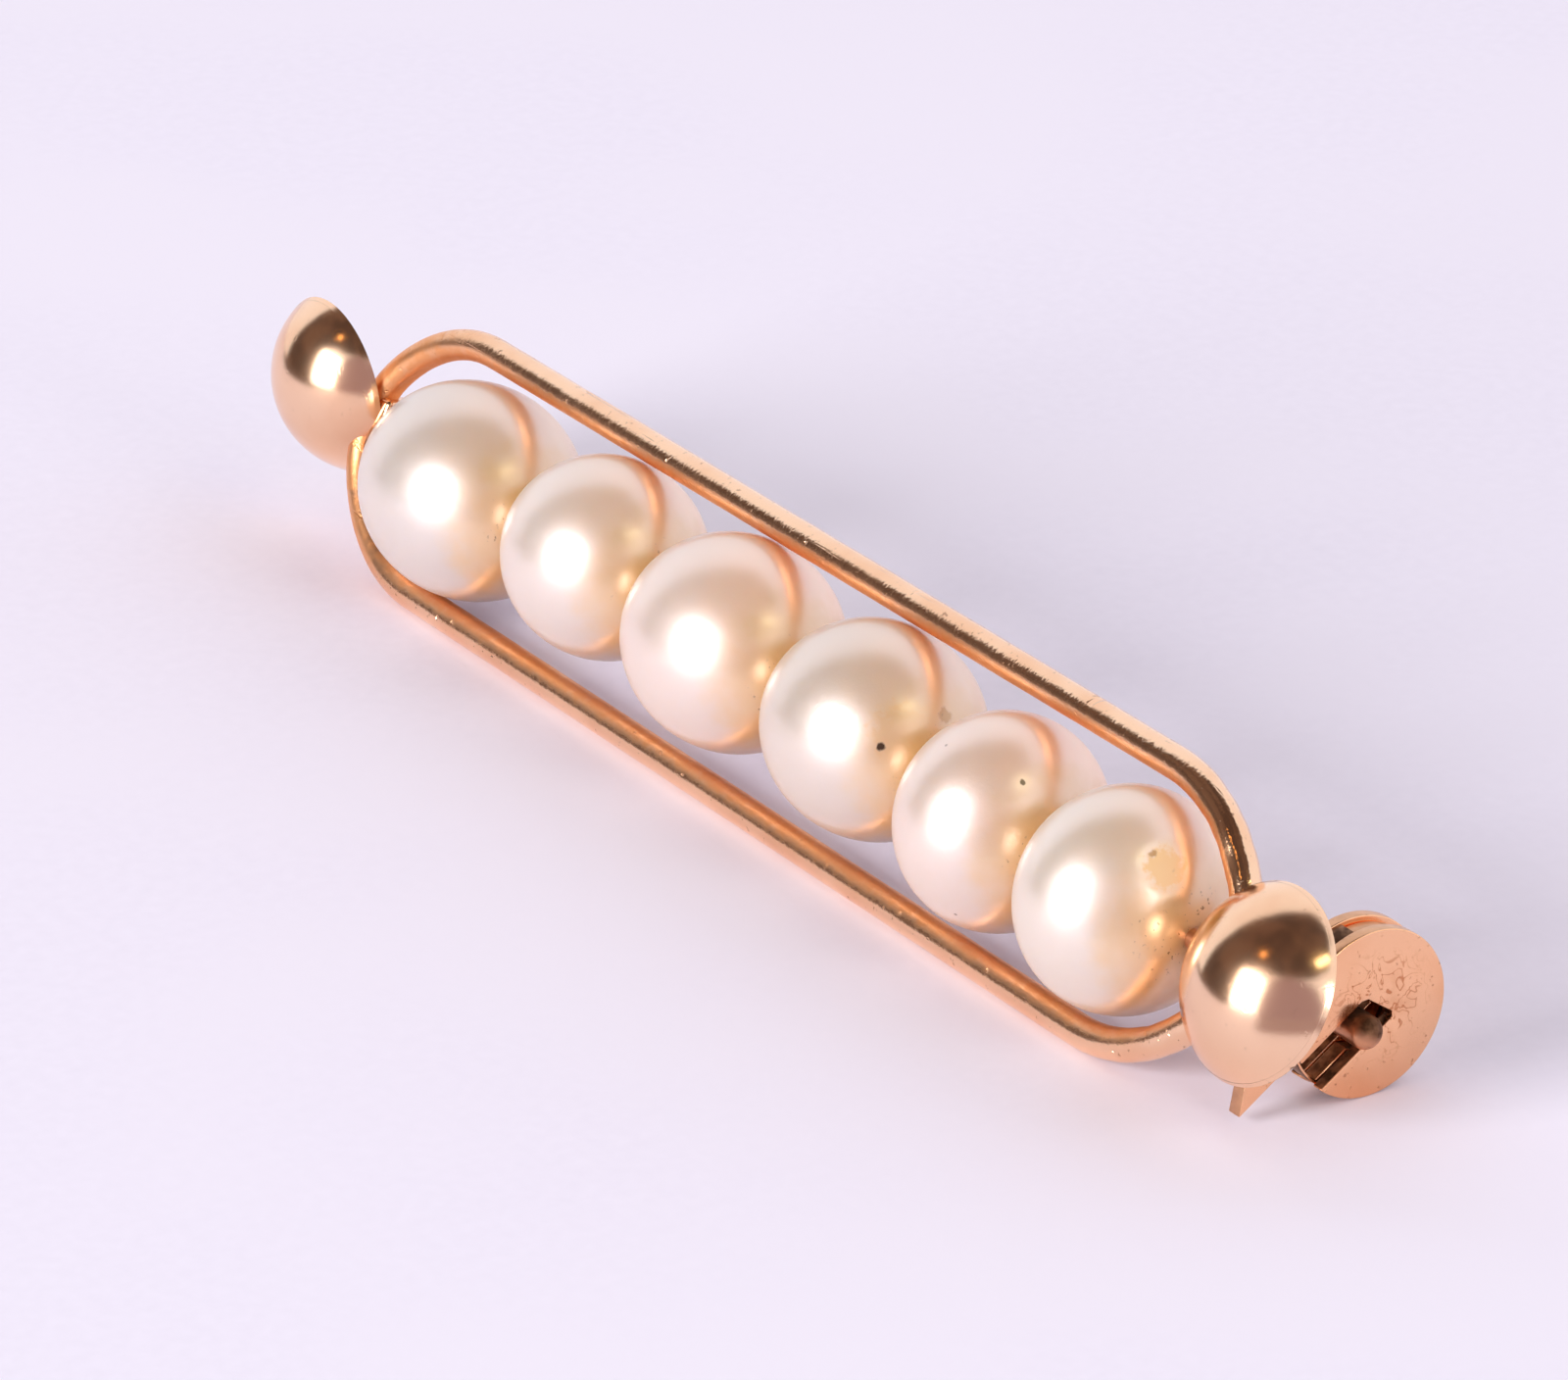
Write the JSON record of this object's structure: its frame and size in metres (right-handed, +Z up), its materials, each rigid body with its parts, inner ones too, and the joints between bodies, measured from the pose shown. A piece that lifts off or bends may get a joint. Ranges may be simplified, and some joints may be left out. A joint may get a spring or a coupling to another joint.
{
  "type": "pearl brooch",
  "caption": "Bar brooch lying on its side: pearls in a row inside a long gold wire loop, half-balls at its ends, and a hinged pin with a lever safety catch behind.",
  "frame": {"origin": "on the table under the middle of the brooch's box, as the brooch lies on its side", "axes": "+X along the bar from the hinge end to the catch end, +Z up from the table, -Y towards the side that the pearls face"},
  "size_m": [0.0434, 0.008, 0.0066],
  "materials": {
    "rose_gold": "polished rose gold, worn and faintly tarnished",
    "copper_gold": "duller reddish gold",
    "pearl": "cream pearl lustre"
  },
  "bodies": {
    "brooch": {"frame": "rose_gold", "pearl_1": "pearl", "pearl_2": "pearl", "pearl_3": "pearl", "pearl_4": "pearl", "pearl_5": "pearl", "pearl_6": "pearl", "pearl_rod": "copper_gold", "hinge_rivet": "copper_gold"},
    "pin": {"pin": "copper_gold"},
    "rotor": {"catch_rotor": "rose_gold"}
  },
  "joints": [
    {"name": "pin_swing", "type": "hinge", "parent": "brooch", "child": "pin", "pos_m": [-0.01593, 0.00276, 0.00125], "axis": [0, -0.5519, 0.8339], "range_deg": [-65, 0]},
    {"name": "catch_turn", "type": "hinge", "parent": "brooch", "child": "rotor", "pos_m": [0.01917, 0.00138, 0.00198], "axis": [1, 0, 0], "range_deg": [0, 120]}
  ]
}
